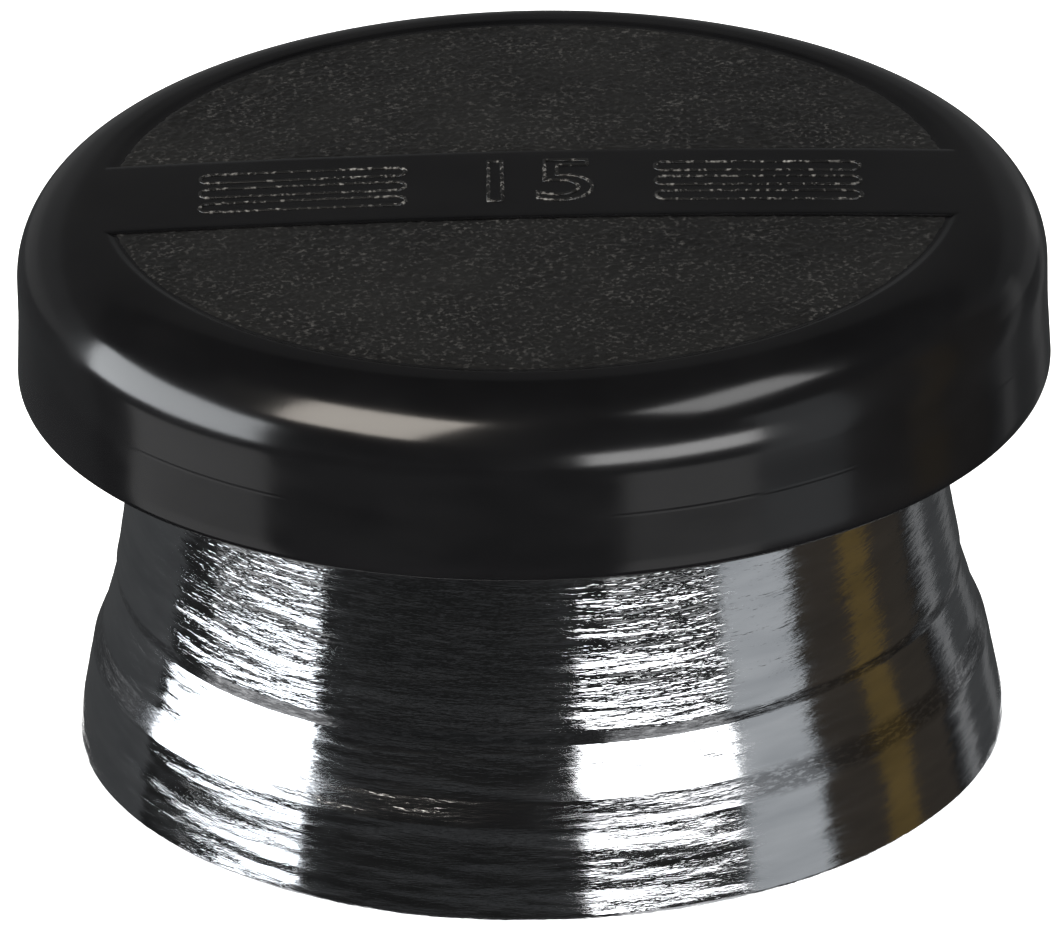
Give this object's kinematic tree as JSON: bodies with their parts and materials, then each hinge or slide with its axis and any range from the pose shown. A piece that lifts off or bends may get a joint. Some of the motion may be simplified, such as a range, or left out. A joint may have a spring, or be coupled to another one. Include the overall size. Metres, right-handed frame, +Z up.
{
  "type": "pressure canner weight",
  "caption": "Dead-weight pressure regulator for a canner's vent pipe: a turned steel weight, wider at its foot, under an overhanging round black plastic cap.",
  "frame": {"origin": "middle of the foot's underside, on the turning axis", "axes": "+Z up along the turning axis, from the foot to the cap; +X along the smooth band on the cap; the vent-pipe bore opens towards -Z"},
  "size_m": [0.0384, 0.0384, 0.0221],
  "materials": {
    "cap_plastic": "gloss",
    "plated_steel": "polished",
    "stainless_steel": "satin",
    "spring_steel": "satin"
  },
  "bodies": {
    "root": {"cap": "cap_plastic", "weight_body": "plated_steel", "vent_seat": "stainless_steel", "cap_ring": "spring_steel"}
  },
  "joints": []
}
